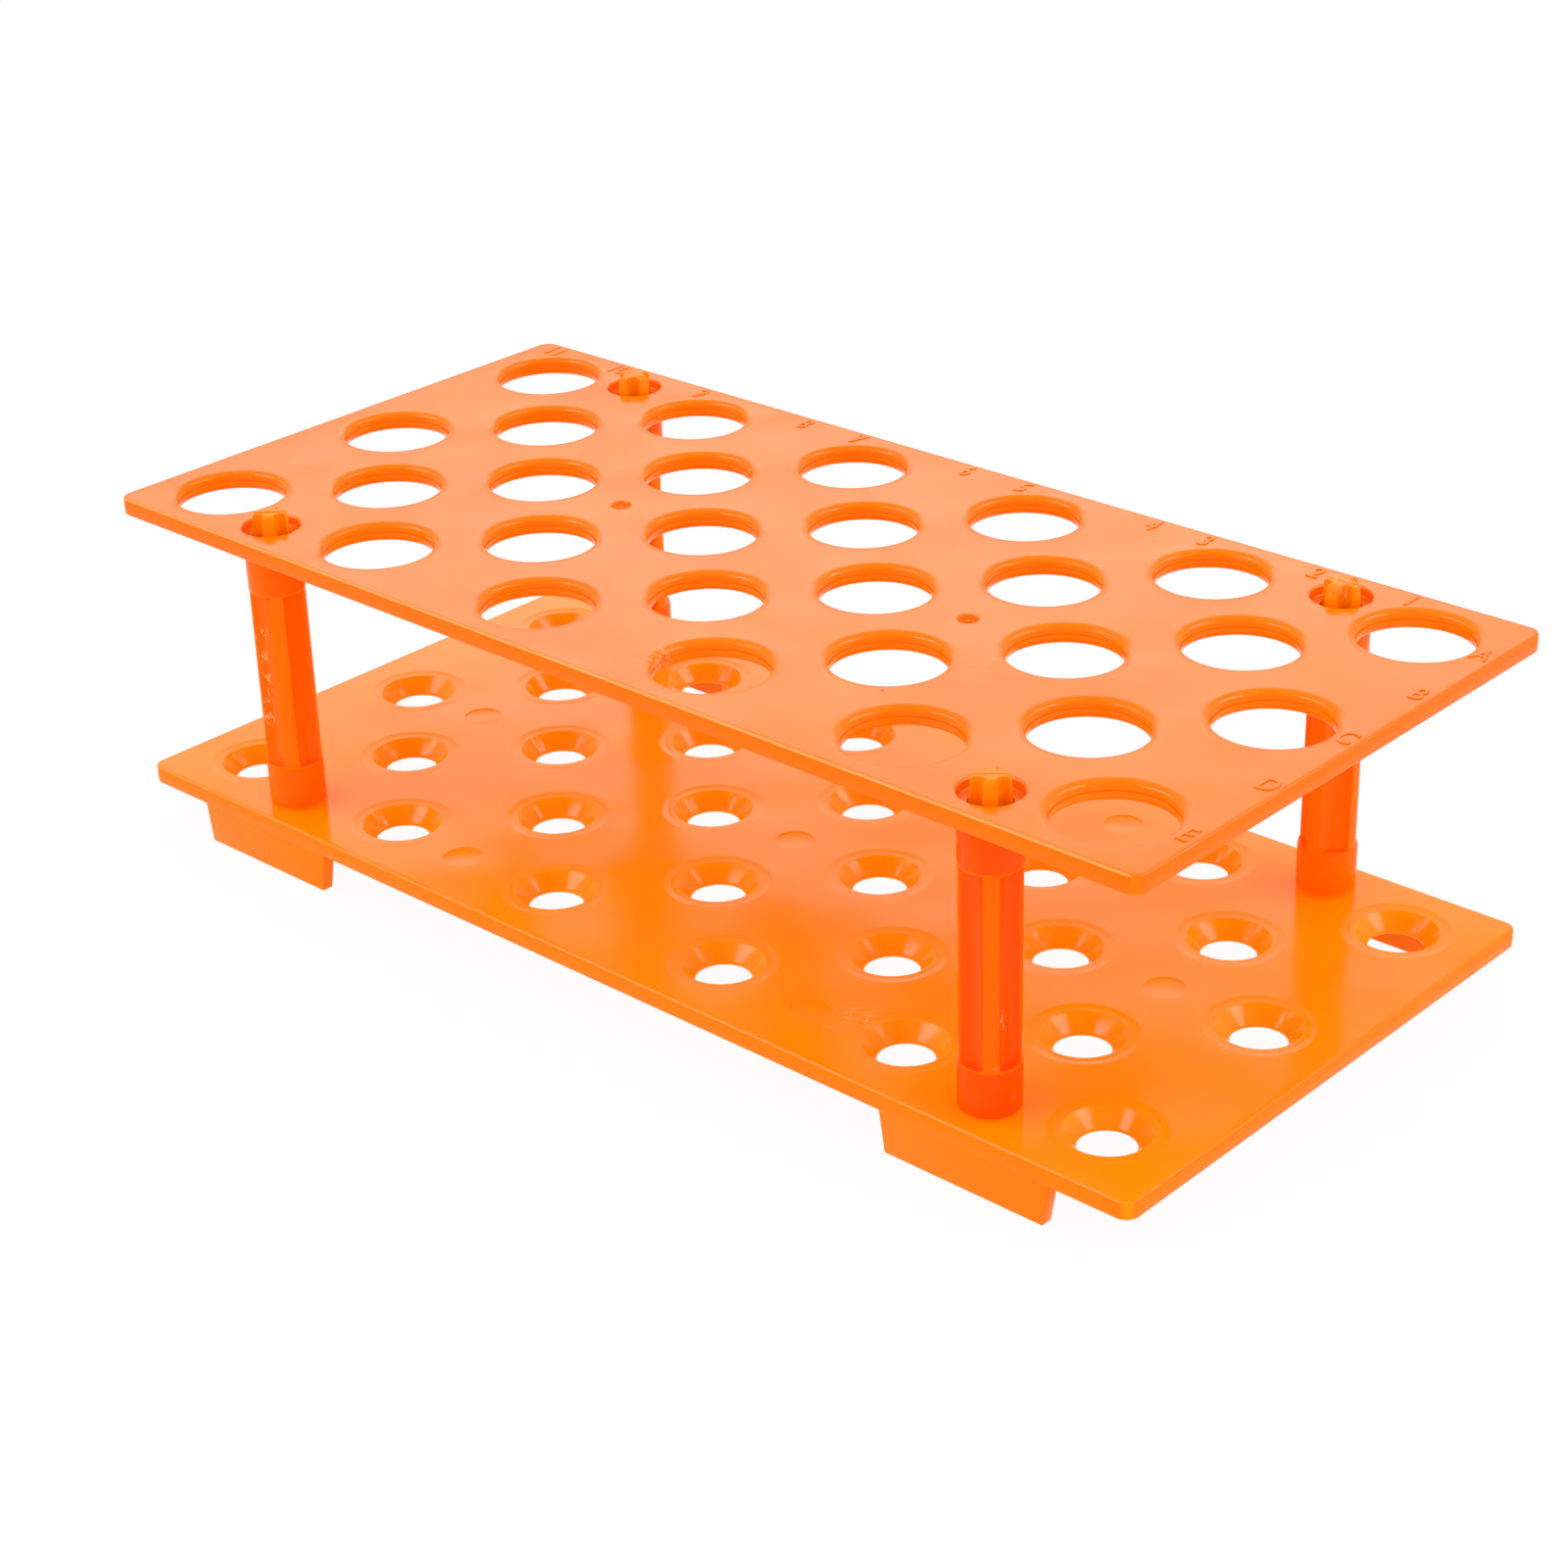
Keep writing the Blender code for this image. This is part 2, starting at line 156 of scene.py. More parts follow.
@dataclass(frozen=True)
class MouldedPolypropylene:
    """Injection-moulded polypropylene, pigmented orange, from a polished mould.

    The polished mould gives a clear gloss. The plastic shrinks as it sets, so that the gloss runs in soft
    ripples, and it lets a little light in, so that its shadows stay warm and saturated.
    """

    name: str
    colour: Hex
    deep_colour: Hex
    roughness: float = 0.16
    rough_spread: float = 0.04
    patch_length: float = 12.0 * MM
    patch_range: Point = (0.3, 0.7)
    swirl_length: float = 30.0 * MM
    swirl_range: Point = (0.35, 0.65)
    ripple_length: float = 24.0 * MM
    ripple_height: float = 0.45 * MM
    grain_length: float = 1.4 * MM
    grain_height: float = 0.0006 * MM
    ior: float = 1.49
    mirror: float = 0.085
    glow: float = 0.12
    glow_depth: float = 2.0 * MM
    glow_colour_depths: Place = (1.0, 0.30, 0.05)
    scratch_size: Place = (3.6 * MM, 0.8 * MM, 3.6 * MM)
    scratch_turn_degrees: float = 35.0
    scratch_width: float = 0.012
    scratch_core: float = 0.3
    scratch_depth: float = 0.02 * MM
    scratch_roughness: float = 0.35
    scuff_colour: Hex = "FFD9B8"
    speck_colour: Hex = "B84A00"
    scuffs: tuple[Spot, ...] = ()
    specks: tuple[Spot, ...] = ()

    def material(self) -> bpy.types.Material:
        """Build the plastic's material.

        Returns:
            The material.
        """
        material = bpy.data.materials.new(self.name)
        material.use_nodes = True
        material.diffuse_color = linear(self.colour)
        sheet = Sheet(material.node_tree)
        worn = self.wear(sheet)
        shader = sheet.tree.nodes["Principled BSDF"]
        for name, value in (
            ("IOR", self.ior),
            ("Metallic", 0.0),
            ("Specular IOR Level", self.mirror),
            ("Subsurface Weight", self.glow),
            ("Subsurface Radius", self.glow_colour_depths),
            ("Subsurface Scale", self.glow_depth),
        ):
            shader.inputs[name].default_value = value
        for name, output in (
            ("Base Color", self.dye(sheet, worn)),
            ("Roughness", self.gloss(sheet, worn)),
            ("Normal", self.relief(sheet, worn)),
        ):
            sheet.tree.links.new(output, shader.inputs[name])
        return material

    def nearness(self, sheet: Sheet, spots: Iterable[Spot]) -> Socket | None:
        """Tell how near each point is to the nearest of some spots.

        Args:
            sheet: The material's nodes.
            spots: The spots.

        Returns:
            The strength at the spots, falling to 0 at their reach, or None where there is no spot.
        """
        near = None
        for spot in spots:
            away = sheet.add("VectorMath", (sheet.place, spot.place), "Value", operation="DISTANCE")
            reach = spot.reach * MM
            fade = sheet.add("MapRange", (away, spot.core_share * reach, reach, spot.strength, 0.0))
            near = fade if near is None else sheet.add("Math", (near, fade), operation="MAXIMUM")
        return near

    def wear(self, sheet: Sheet) -> Socket | None:
        """Draw the scuffs: fine long scratches that fade out round each scuff's place.

        Args:
            sheet: The material's nodes.

        Returns:
            How scuffed each point is, or None where there is no scuff.
        """
        near = self.nearness(sheet, self.scuffs)
        if near is None:
            return None
        turn = (0.0, 0.0, math.radians(self.scratch_turn_degrees))
        inputs = {"Vector": sheet.place, "Rotation": turn, "Scale": self.scratch_size}
        drawn = sheet.add("Mapping", inputs, vector_type="TEXTURE")
        inputs = {"Vector": drawn, "Scale": 1.0, "Detail": 3.0, "Roughness": 0.6}
        off_line = sheet.add("Math", (sheet.add("TexNoise", inputs), 0.5), operation="SUBTRACT")
        off_line = sheet.add("Math", (off_line,), operation="ABSOLUTE")
        width = self.scratch_width
        hair = sheet.add("MapRange", (off_line, self.scratch_core * width, width, 1.0, 0.0))
        return sheet.add("Math", (hair, near), operation="MULTIPLY")

    def dye(self, sheet: Sheet, worn: Socket | None) -> Socket:
        """Colour the plastic: two close oranges that swirl slowly into each other, then its painted light and
        shade, and its wear.

        Args:
            sheet: The material's nodes.
            worn: How scuffed each point is.

        Returns:
            The colour.
        """
        inputs = {"Vector": sheet.place, "Scale": 1 / self.swirl_length, "Detail": 2.0}
        swirl = sheet.add("MapRange", (sheet.add("TexNoise", inputs), *self.swirl_range))
        specks = self.nearness(sheet, self.specks)
        colour = linear(self.colour)
        # Painted light and shade are mixed in after the swirl, before the scuffs and specks.
        for share, code in (
            (swirl, self.deep_colour),
            *self.tints(sheet),
            (worn, self.scuff_colour),
            (specks, self.speck_colour),
        ):
            if share is not None:
                colour = sheet.add("Mix", {0: share, 6: colour, 7: linear(code)}, 2, data_type="RGBA")
        return colour

    def tints(self, sheet: Sheet) -> list[tuple[Socket, Hex]]:
        """List the painted light and shade of this moulding's own places: none on a plain moulding."""
        return []

    def gloss(self, sheet: Sheet, worn: Socket | None) -> Socket:
        """Set the gloss: clear, a little duller in patches and dull where it is scuffed.

        Args:
            sheet: The material's nodes.
            worn: How scuffed each point is.

        Returns:
            The roughness.
        """
        inputs = {"Vector": sheet.place, "Scale": 1 / self.patch_length, "Detail": 4.0}
        low, high = self.roughness - self.rough_spread, self.roughness + self.rough_spread
        rough = sheet.add("MapRange", (sheet.add("TexNoise", inputs), *self.patch_range, low, high))
        if worn is None:
            return rough
        return sheet.add("Math", (worn, self.scratch_roughness, rough), operation="MULTIPLY_ADD")

    def relief(self, sheet: Sheet, worn: Socket | None) -> Socket:
        """Shape the surface: soft ripples from shrinking, the mould's fine grain, and the scratches.

        Args:
            sheet: The material's nodes.
            worn: How scuffed each point is.

        Returns:
            The surface's direction.
        """
        layers = []
        for length, detail, depth in (
            (self.ripple_length, 1.0, self.ripple_height), (self.grain_length, 3.0, self.grain_height),
        ):
            inputs = {"Vector": sheet.place, "Scale": 1 / length, "Detail": detail}
            layers.append((sheet.add("TexNoise", inputs), depth, False))
        if worn is not None:
            layers.append((worn, self.scratch_depth, True))
        below = {}
        for height, depth, inward in layers:
            inputs = {"Strength": 1.0, "Distance": depth, "Height": height, **below}
            below = {"Normal": sheet.add("Bump", inputs, invert=inward)}
        return below["Normal"]


@dataclass(frozen=True)
class PlatePolypropylene(MouldedPolypropylene):
    """The plates' plastic: painted deeper on the thin feet and at the edges as shade, with a painted
    highlight line along the brim.
    """

    thin_colour: Hex = "FF7B00"
    foot_top: Point = (6.3 * MM, 7.0 * MM)
    edge_start: Point = (46.9 * MM, 47.2 * MM)
    end_start: Point = (99.6 * MM, 99.9 * MM)
    brim_colour: Hex = "FFC070"
    brim_level: float = 0.0
    brim_start: Point = (46.94 * MM, 47.02 * MM)
    brim_foot: Point = (-0.27 * MM, -0.20 * MM)
    brim_strength: float = 0.45

    def tints(self, sheet: Sheet) -> list[tuple[Socket, Hex]]:
        """Paint shade on the feet and the edges, and paint a highlight line on the long edges' upper
        roundings.

        Args:
            sheet: The material's nodes.

        Returns:
            Each tint's share and colour.
        """
        along, across, height = sheet.add("SeparateXYZ", (sheet.quarter,)).node.outputs
        # Painted shade: the feet, below foot_top, and the edges, beyond edge_start and end_start, are
        # deepened.
        thin = sheet.add("MapRange", (height, *self.foot_top, 1.0, 0.0))
        for reach, start in ((across, self.edge_start), (along, self.end_start)):
            edge = sheet.add("MapRange", (reach, *start))
            thin = sheet.add("Math", (thin, edge), operation="MAXIMUM")
        # Painted highlight: a pale line on the upper rounding of the long edges.
        outer = sheet.add("MapRange", (across, *self.brim_start, 0.0, self.brim_strength))
        upper = sheet.add("MapRange", (height, *(self.brim_level + foot for foot in self.brim_foot)))
        brim = sheet.add("Math", (outer, upper), operation="MULTIPLY")
        return [(thin, self.thin_colour), (brim, self.brim_colour)]


@dataclass(frozen=True)
class PostPolypropylene(MouldedPolypropylene):
    """The posts' plastic: painted redder as shade, with painted light on the ribs' crests and on the pegs."""

    rib_colour: Hex = "FF6800"
    peg_colour: Hex = "FF8800"
    post_middle: float = 31.75 * MM
    peg_start: Point = (21.6 * MM, 22.0 * MM)
    rib_reach: Point = (3.9 * MM, 4.25 * MM)
    collar_reach: Point = (4.36 * MM, 4.42 * MM)
    post_place: Place = (71.2 * MM, 39.9 * MM, 0.0)

    def tints(self, sheet: Sheet) -> list[tuple[Socket, Hex]]:
        """Paint light on the ribs' crests, found by their distance from the post's axis, and on the pegs at
        its ends.

        Args:
            sheet: The material's nodes.

        Returns:
            Each tint's share and colour.
        """
        level = sheet.add("VectorMath", (sheet.quarter, (1.0, 1.0, 0.0)), operation="MULTIPLY")
        away = sheet.add("VectorMath", (level, self.post_place), "Value", operation="DISTANCE")
        # Painted highlight: the ribs' crests along the shank are lightened.
        crest = sheet.add("MapRange", (away, *self.rib_reach))
        shank = sheet.add("MapRange", (away, *self.collar_reach, 1.0, 0.0))
        rib = sheet.add("Math", (crest, shank), operation="MULTIPLY")
        # Painted light: the pegs at both ends are lightened.
        height = sheet.add("SeparateXYZ", (sheet.place,), "Z")
        from_middle = sheet.add("Math", (height, self.post_middle), operation="SUBTRACT")
        from_middle = sheet.add("Math", (from_middle,), operation="ABSOLUTE")
        peg = sheet.add("MapRange", (from_middle, *self.peg_start))
        return [(rib, self.rib_colour), (peg, self.peg_colour)]


def post_plastic(corner: Corner) -> PostPolypropylene:
    """Give a corner's post its plastic: four mouldings, each with its own wear, and oranges set lighter or
    deeper per corner as painted light and shade.

    Args:
        corner: The post's corner.

    Returns:
        The post's plastic.
    """
    # Painted light and shade: each corner's oranges are lighter or deeper by how much light reaches its post.
    orange, deep_orange, lit_rib_orange, scuffs = {
        Corner.FRONT_LEFT: (
            "FF6800", "FF6400", "FF7400", [Spot(-72.4, -42.8, z, 1.9) for z in (39.0, 35.5, 32.0, 28.5, 25.0)]
        ),
        Corner.FRONT_RIGHT: (
            "FF5300", "FF5000", "FF6800", [Spot(74.3, -40.6, 24.1, 1.6), Spot(74.6, -42.3, 17.6, 0.8)]
        ),
        Corner.BACK_LEFT: ("FF6800", "FF6400", "FF7800", [Spot(-71.2, 39.9, 58.9, 2.4, 0.7)]),
        Corner.BACK_RIGHT: ("FF7000", "FF6C00", "FF7400", [Spot(71.2, 39.9, 58.9, 3.2)]),
    }[corner]
    return PostPolypropylene(
        f"moulded_polypropylene_{corner.node}", orange, deep_orange, rib_colour=lit_rib_orange, mirror=0.05,
        scratch_size=(1.2 * MM, 1.2 * MM, 5.0 * MM), scratch_width=0.016, scuff_colour="FFC880",
        scuffs=tuple(scuffs),
    )


@dataclass(frozen=True)
class Bend:
    """A corner of a turned profile: its distance from the axis, its height and its rounding."""

    radius: float
    height: float
    rounding: float = 0.0


def rounded(corners: Sequence[Bend], steps: int = 4) -> list[Point]:
    """Round the corners of a profile by arcs.

    Args:
        corners: The profile's corners, in order.
        steps: How many straight pieces each arc has.

    Returns:
        The rounded profile, as radii and heights.
    """
    spots = [Vector((corner.radius, corner.height)) for corner in corners]
    points: list[Point] = []
    for index, corner in enumerate(corners):
        here = spots[index]
        if corner.rounding == 0.0 or index in (0, len(corners) - 1):
            points.append(tuple(here))
            continue
        before = (spots[index - 1] - here).normalized()
        after = (spots[index + 1] - here).normalized()
        half = before.angle(after) / 2
        centre = here + (before + after).normalized() * (corner.rounding / math.sin(half))
        tangent = corner.rounding / math.tan(half)
        start = here + before * tangent - centre
        end = here + after * tangent - centre
        for step in range(steps + 1):
            arm = start.lerp(end, step / steps).normalized() * corner.rounding
            points.append(tuple(centre + arm))
    return points


class Moulding:
    """A moulded piece in the making: a mesh that its turned, bevelled and filled surfaces close."""

    def __init__(self, name: str) -> None:
        """Start an empty moulding."""
        self.name = name
        self.mesh = bmesh.new()

    def turn(self, profile: Sequence[Point], places: Iterable[Point], segments: int) -> None:
        """Turn a profile about an upright axis, and set the turned form at each place.

        Args:
            profile: Radii and heights.
            places: The axes' places along and across the rack.
            segments: How many steps a full turn has.
        """
        turned = bmesh.new()
        points = [turned.verts.new((radius, 0.0, height)) for radius, height in profile]
        edges = [turned.edges.new(pair) for pair in zip(points, points[1:])]
        bmesh.ops.spin(
            turned, geom=points + edges, axis=(0.0, 0.0, 1.0), angle=math.tau, steps=segments, use_merge=True,
        )
        bmesh.ops.remove_doubles(turned, verts=turned.verts, dist=TOUCH)
        form = bpy.data.meshes.new("turned_form")
        turned.to_mesh(form)
        turned.free()
        for x, y in places:
            form.transform(Matrix.Translation((x, y, 0.0)))
            self.mesh.from_mesh(form)
            form.transform(Matrix.Translation((-x, -y, 0.0)))
        bpy.data.meshes.remove(form)

    def at_level(self, level: float, parts: Iterable) -> list:
        """Pick the edges or faces that lie in one level."""
        return [part for part in parts if all(abs(vert.co.z - level) < TOUCH for vert in part.verts)]

    def fill(self, level: float, upward: float) -> None:
        """Fill one level between its open rims, facing up where upward is 1 and down where it is -1."""
        rims = self.at_level(level, [edge for edge in self.mesh.edges if edge.is_boundary])
        bmesh.ops.triangle_fill(self.mesh, use_beauty=True, edges=rims, normal=(0.0, 0.0, upward))

    def bevel(self, edges: list[bmesh.types.BMEdge], radius: float, segments: int) -> None:
        """Round edges, by as many flats as there are segments."""
        bmesh.ops.bevel(
            self.mesh, geom=edges, offset=radius, offset_type="OFFSET", segments=segments, profile=0.5,
            affect="EDGES", material=-1, clamp_overlap=True,
        )

    def finish(self, node: str, slot: str, material: bpy.types.Material, smooth_degrees: float) -> None:
        """Turn the mesh into a piece that stands for its solid.

        Args:
            node: The node that the piece stands for, or nothing where it stands for none.
            slot: A material slot's name; it is not used.
            material: The finish.
            smooth_degrees: The steepest edge that is still shaded smooth.
        """
        bmesh.ops.recalc_face_normals(self.mesh, faces=self.mesh.faces)
        open_edges = sum(1 for edge in self.mesh.edges if not edge.is_manifold)
        data = bpy.data.meshes.new(self.name)
        self.mesh.to_mesh(data)
        self.mesh.free()
        data.shade_smooth()
        data.set_sharp_from_angle(angle=math.radians(smooth_degrees))
        data.materials.append(material)
        piece = bpy.data.objects.new(self.name, data)
        bpy.context.scene.collection.objects.link(piece)
        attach(piece, BODY)
        if node:
            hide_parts(node)
        log.info("%s: %d faces, %d open edges", self.name, len(data.polygons), open_edges)


@dataclass(frozen=True)
class RackPlan:
    """Places and levels that the mouldings share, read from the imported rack."""

    columns: int = 11
    rows: int = 5
    pitch: float = 17.4 * MM
    lower_thickness: float = 2.9 * MM
    half_length: float = field(default_factory=lambda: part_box("upper_plate")[1].x)
    half_width: float = field(default_factory=lambda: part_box("upper_plate")[1].y)
    upper_top: float = field(default_factory=lambda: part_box("upper_plate")[1].z)
    upper_underside: float = field(default_factory=lambda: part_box("upper_plate")[0].z)
    lower_top: float = field(default_factory=lambda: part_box("lower_plate")[1].z)

    @property
    def lower_underside(self) -> float:
        """Give the level of the lower plate's underside."""
        return self.lower_top - self.lower_thickness

    def stations(self) -> list[Point]:
        """Give the tube stations' centres: every second place of the grid."""
        grid = ((column, row) for column in range(self.columns) for row in range(self.rows))
        return [
            (self.spaced(column, self.columns), self.spaced(row, self.rows))
            for column, row in grid if (column + row) % 2 == 0
        ]

    def spaced(self, number: int, count: int) -> float:
        """Give a row's or column's distance from the rack's middle."""
        return (number - (count - 1) / 2) * self.pitch

    def post_axis(self, corner: Corner) -> Point:
        """Give the place of a corner's post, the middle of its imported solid."""
        low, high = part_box(corner.node)
        return (low.x + high.x) / 2, (low.y + high.y) / 2

    def post_axes(self) -> list[Point]:
        """Give the places of all four posts."""
        return [self.post_axis(corner) for corner in Corner]


@dataclass
class Plate:
    """What both plates have: the outline with its rounded corners and edges, and the pegs' seats."""

    plan: RackPlan
    under: float
    top: float
    corner_radius: float = 2.2 * MM
    top_edge_radius: float = 0.28 * MM
    bottom_edge_radius: float = 0.36 * MM
    ridge_depth: float = 1.45 * MM
    ridge_width: float = 0.3 * MM
    ridge_height: float = 0.05 * MM
    flat_margin: float = 0.5 * MM
    peg_hole_radius: float = 3.02 * MM
    recess_radius: float = 4.45 * MM
    recess_rim: float = 0.1 * MM
    recess_brim: float = 0.15 * MM
    recess_rounding: float = 0.3 * MM
    brim_width: float = 0.5 * MM
    fine_rounding: float = 0.1 * MM
    corner_segments: int = 10
    edge_segments: int = 4
    station_segments: int = 72
    seat_segments: int = 48
    smooth_degrees: float = 40.0

    def edge_band(self, moulding: Moulding) -> None:
        """Make the band that runs round the plate, with open rims at both levels.

        Args:
            moulding: The plate in the making.
        """
        mesh = moulding.mesh
        thickness = self.top - self.under
        length = 2 * (self.plan.half_length - self.ridge_height)
        width = 2 * (self.plan.half_width - self.ridge_height)
        bmesh.ops.create_cube(mesh, size=1.0)
        bmesh.ops.scale(mesh, verts=mesh.verts, vec=(length, width, thickness))
        bmesh.ops.translate(mesh, verts=mesh.verts, vec=(0.0, 0.0, (self.under + self.top) / 2))
        upright = [
            edge for edge in mesh.edges if abs(edge.verts[0].co.z - edge.verts[1].co.z) > thickness / 2
        ]
        moulding.bevel(upright, self.corner_radius, self.corner_segments)
        for level, radius in ((self.top, self.top_edge_radius), (self.under, self.bottom_edge_radius)):
            moulding.bevel(moulding.at_level(level, mesh.edges), radius, self.edge_segments)
        flats = sorted(mesh.faces, key=lambda face: face.calc_area())[-2:]
        bmesh.ops.inset_individual(mesh, faces=flats, thickness=self.flat_margin, use_even_offset=True)
        bmesh.ops.delete(mesh, geom=flats, context="FACES_ONLY")
        self.raise_parting_line(mesh, self.top - self.ridge_depth)

    def raise_parting_line(self, mesh: bmesh.types.BMesh, level: float) -> None:
        """Raise the fine ridge that the mould's two halves leave round the plate's edge.

        Args:
            mesh: The plate in the making, with only its edge band.
            level: The ridge's height on the edge.
        """
        for shift in (-self.ridge_width / 2, 0.0, self.ridge_width / 2):
            geometry = mesh.verts[:] + mesh.edges[:] + mesh.faces[:]
            bmesh.ops.bisect_plane(
                mesh, geom=geometry, dist=TOUCH, plane_co=(0.0, 0.0, level + shift), plane_no=(0.0, 0.0, 1.0)
            )
        mesh.normal_update()
        for vert in mesh.verts:
            if abs(vert.co.z - level) < TOUCH:
                vert.co += vert.normal * self.ridge_height

    def seat_profile(self, face: float, floor: float, back: float) -> list[Point]:
        """Draw a peg seat's section: the recess and the peg's own hole behind it.

        Args:
            face: The level of the recess's rim.
            floor: The level of the recess's floor.
            back: The level of the hole's other end.

        Returns:
            The section.
        """
        return rounded([
            Bend(self.recess_radius + self.recess_brim, face),
            Bend(self.recess_radius, face, self.recess_rim),
            Bend(self.recess_radius, floor, self.recess_rounding),
            Bend(self.peg_hole_radius, floor, self.fine_rounding),
            Bend(self.peg_hole_radius, back, self.fine_rounding),
            Bend(self.peg_hole_radius + self.brim_width, back),
        ])


@dataclass
class UpperPlate(Plate):
    """The plate that guides the tubes: round holes with soft rims, peg recesses and two gate marks."""

    # Painted shade on the upper plate's edges, and a painted highlight line at its brim level.
    finish: MouldedPolypropylene = PlatePolypropylene(
        "moulded_polypropylene_upper", "FF7D00", "FF7800", thin_colour="FF7000", brim_level=56.75 * MM,
        scuffs=(
            Spot(9.5, -36.6, 56.6, 4.0),
            Spot(37.8, 38.9, 56.7, 2.0, 0.8),
            Spot(45.0, -9.0, 56.7, 5.0, 0.5),
        ),
        specks=(Spot(41.0, -26.0, 56.7, 0.4),),
    )
    hole_radius: float = 8.5 * MM
    rim_radius: float = 0.65 * MM
    under_rim_radius: float = 0.95 * MM
    dish_depth: float = 0.28 * MM
    dish_width: float = 0.92 * MM
    dish_rounding: float = 3.0 * MM
    flat_start: float = 1.6 * MM
    parting_depth: float = 1.35 * MM
    parting_step: float = 0.26 * MM
    parting_groove: float = 0.03 * MM
    parting_slope: float = 0.02 * MM
    rim_steps: int = 6
    recess_depth: float = 1.5 * MM
    recess_rim: float = 0.35 * MM
    recess_brim: float = 0.77 * MM
    gate_radius: float = 1.6 * MM
    gate_floor_radius: float = 1.28 * MM
    gate_depth: float = 0.8 * MM
    gate_rounding: float = 0.2 * MM
    gate_nub_radius: float = 0.55 * MM
    gate_nub_tip_radius: float = 0.385 * MM
    gate_nub_depth: float = 0.25 * MM
    gate_columns: tuple[int, int] = (3, 7)

    def hole_profile(self) -> list[Point]:
        """Draw a tube hole's section, from the top face down to the underside.

        Returns:
            The section.
        """
        radius = self.hole_radius
        lower_radius = radius - self.parting_step
        split = self.top - self.parting_depth
        return rounded([
            Bend(radius + self.flat_start, self.top),
            Bend(radius + self.dish_width, self.top, self.dish_rounding),
            Bend(radius, self.top - self.dish_depth, self.rim_radius),
            Bend(radius, split + self.parting_groove),
            Bend(radius + self.parting_groove, split),
            Bend(lower_radius, split - self.parting_slope, self.parting_groove),
            Bend(lower_radius, self.under, self.under_rim_radius),
            Bend(radius + self.under_rim_radius, self.under),
        ], self.rim_steps)

    def gate_profile(self) -> list[Point]:
        """Draw a gate mark's section: a small dish with the nub where the runner broke off.

        Returns:
            The section.
        """
        floor = self.top - self.gate_depth
        nub = self.top - self.gate_nub_depth
        return rounded([
            Bend(self.gate_radius + self.brim_width, self.top),
            Bend(self.gate_radius, self.top, self.gate_rounding),
            Bend(self.gate_floor_radius, floor, self.gate_rounding),
            Bend(self.gate_nub_radius, floor, self.fine_rounding),
            Bend(self.gate_nub_tip_radius, nub, self.fine_rounding),
            Bend(0.0, nub),
        ])

    def build(self) -> None:
        """Build the plate."""
        plan = self.plan
        moulding = Moulding("upper_plate_moulding")
        self.edge_band(moulding)
        moulding.turn(self.hole_profile(), plan.stations(), self.station_segments)
        seat = self.seat_profile(self.top, self.top - self.recess_depth, self.under)
        moulding.turn(seat, plan.post_axes(), self.seat_segments)
        gates = [(plan.spaced(column, plan.columns), 0.0) for column in self.gate_columns]
        moulding.turn(self.gate_profile(), gates, self.seat_segments)
        moulding.fill(self.top, 1.0)
        moulding.fill(self.under, -1.0)
        moulding.finish("upper_plate", "upper_plate", self.finish.material(), self.smooth_degrees)


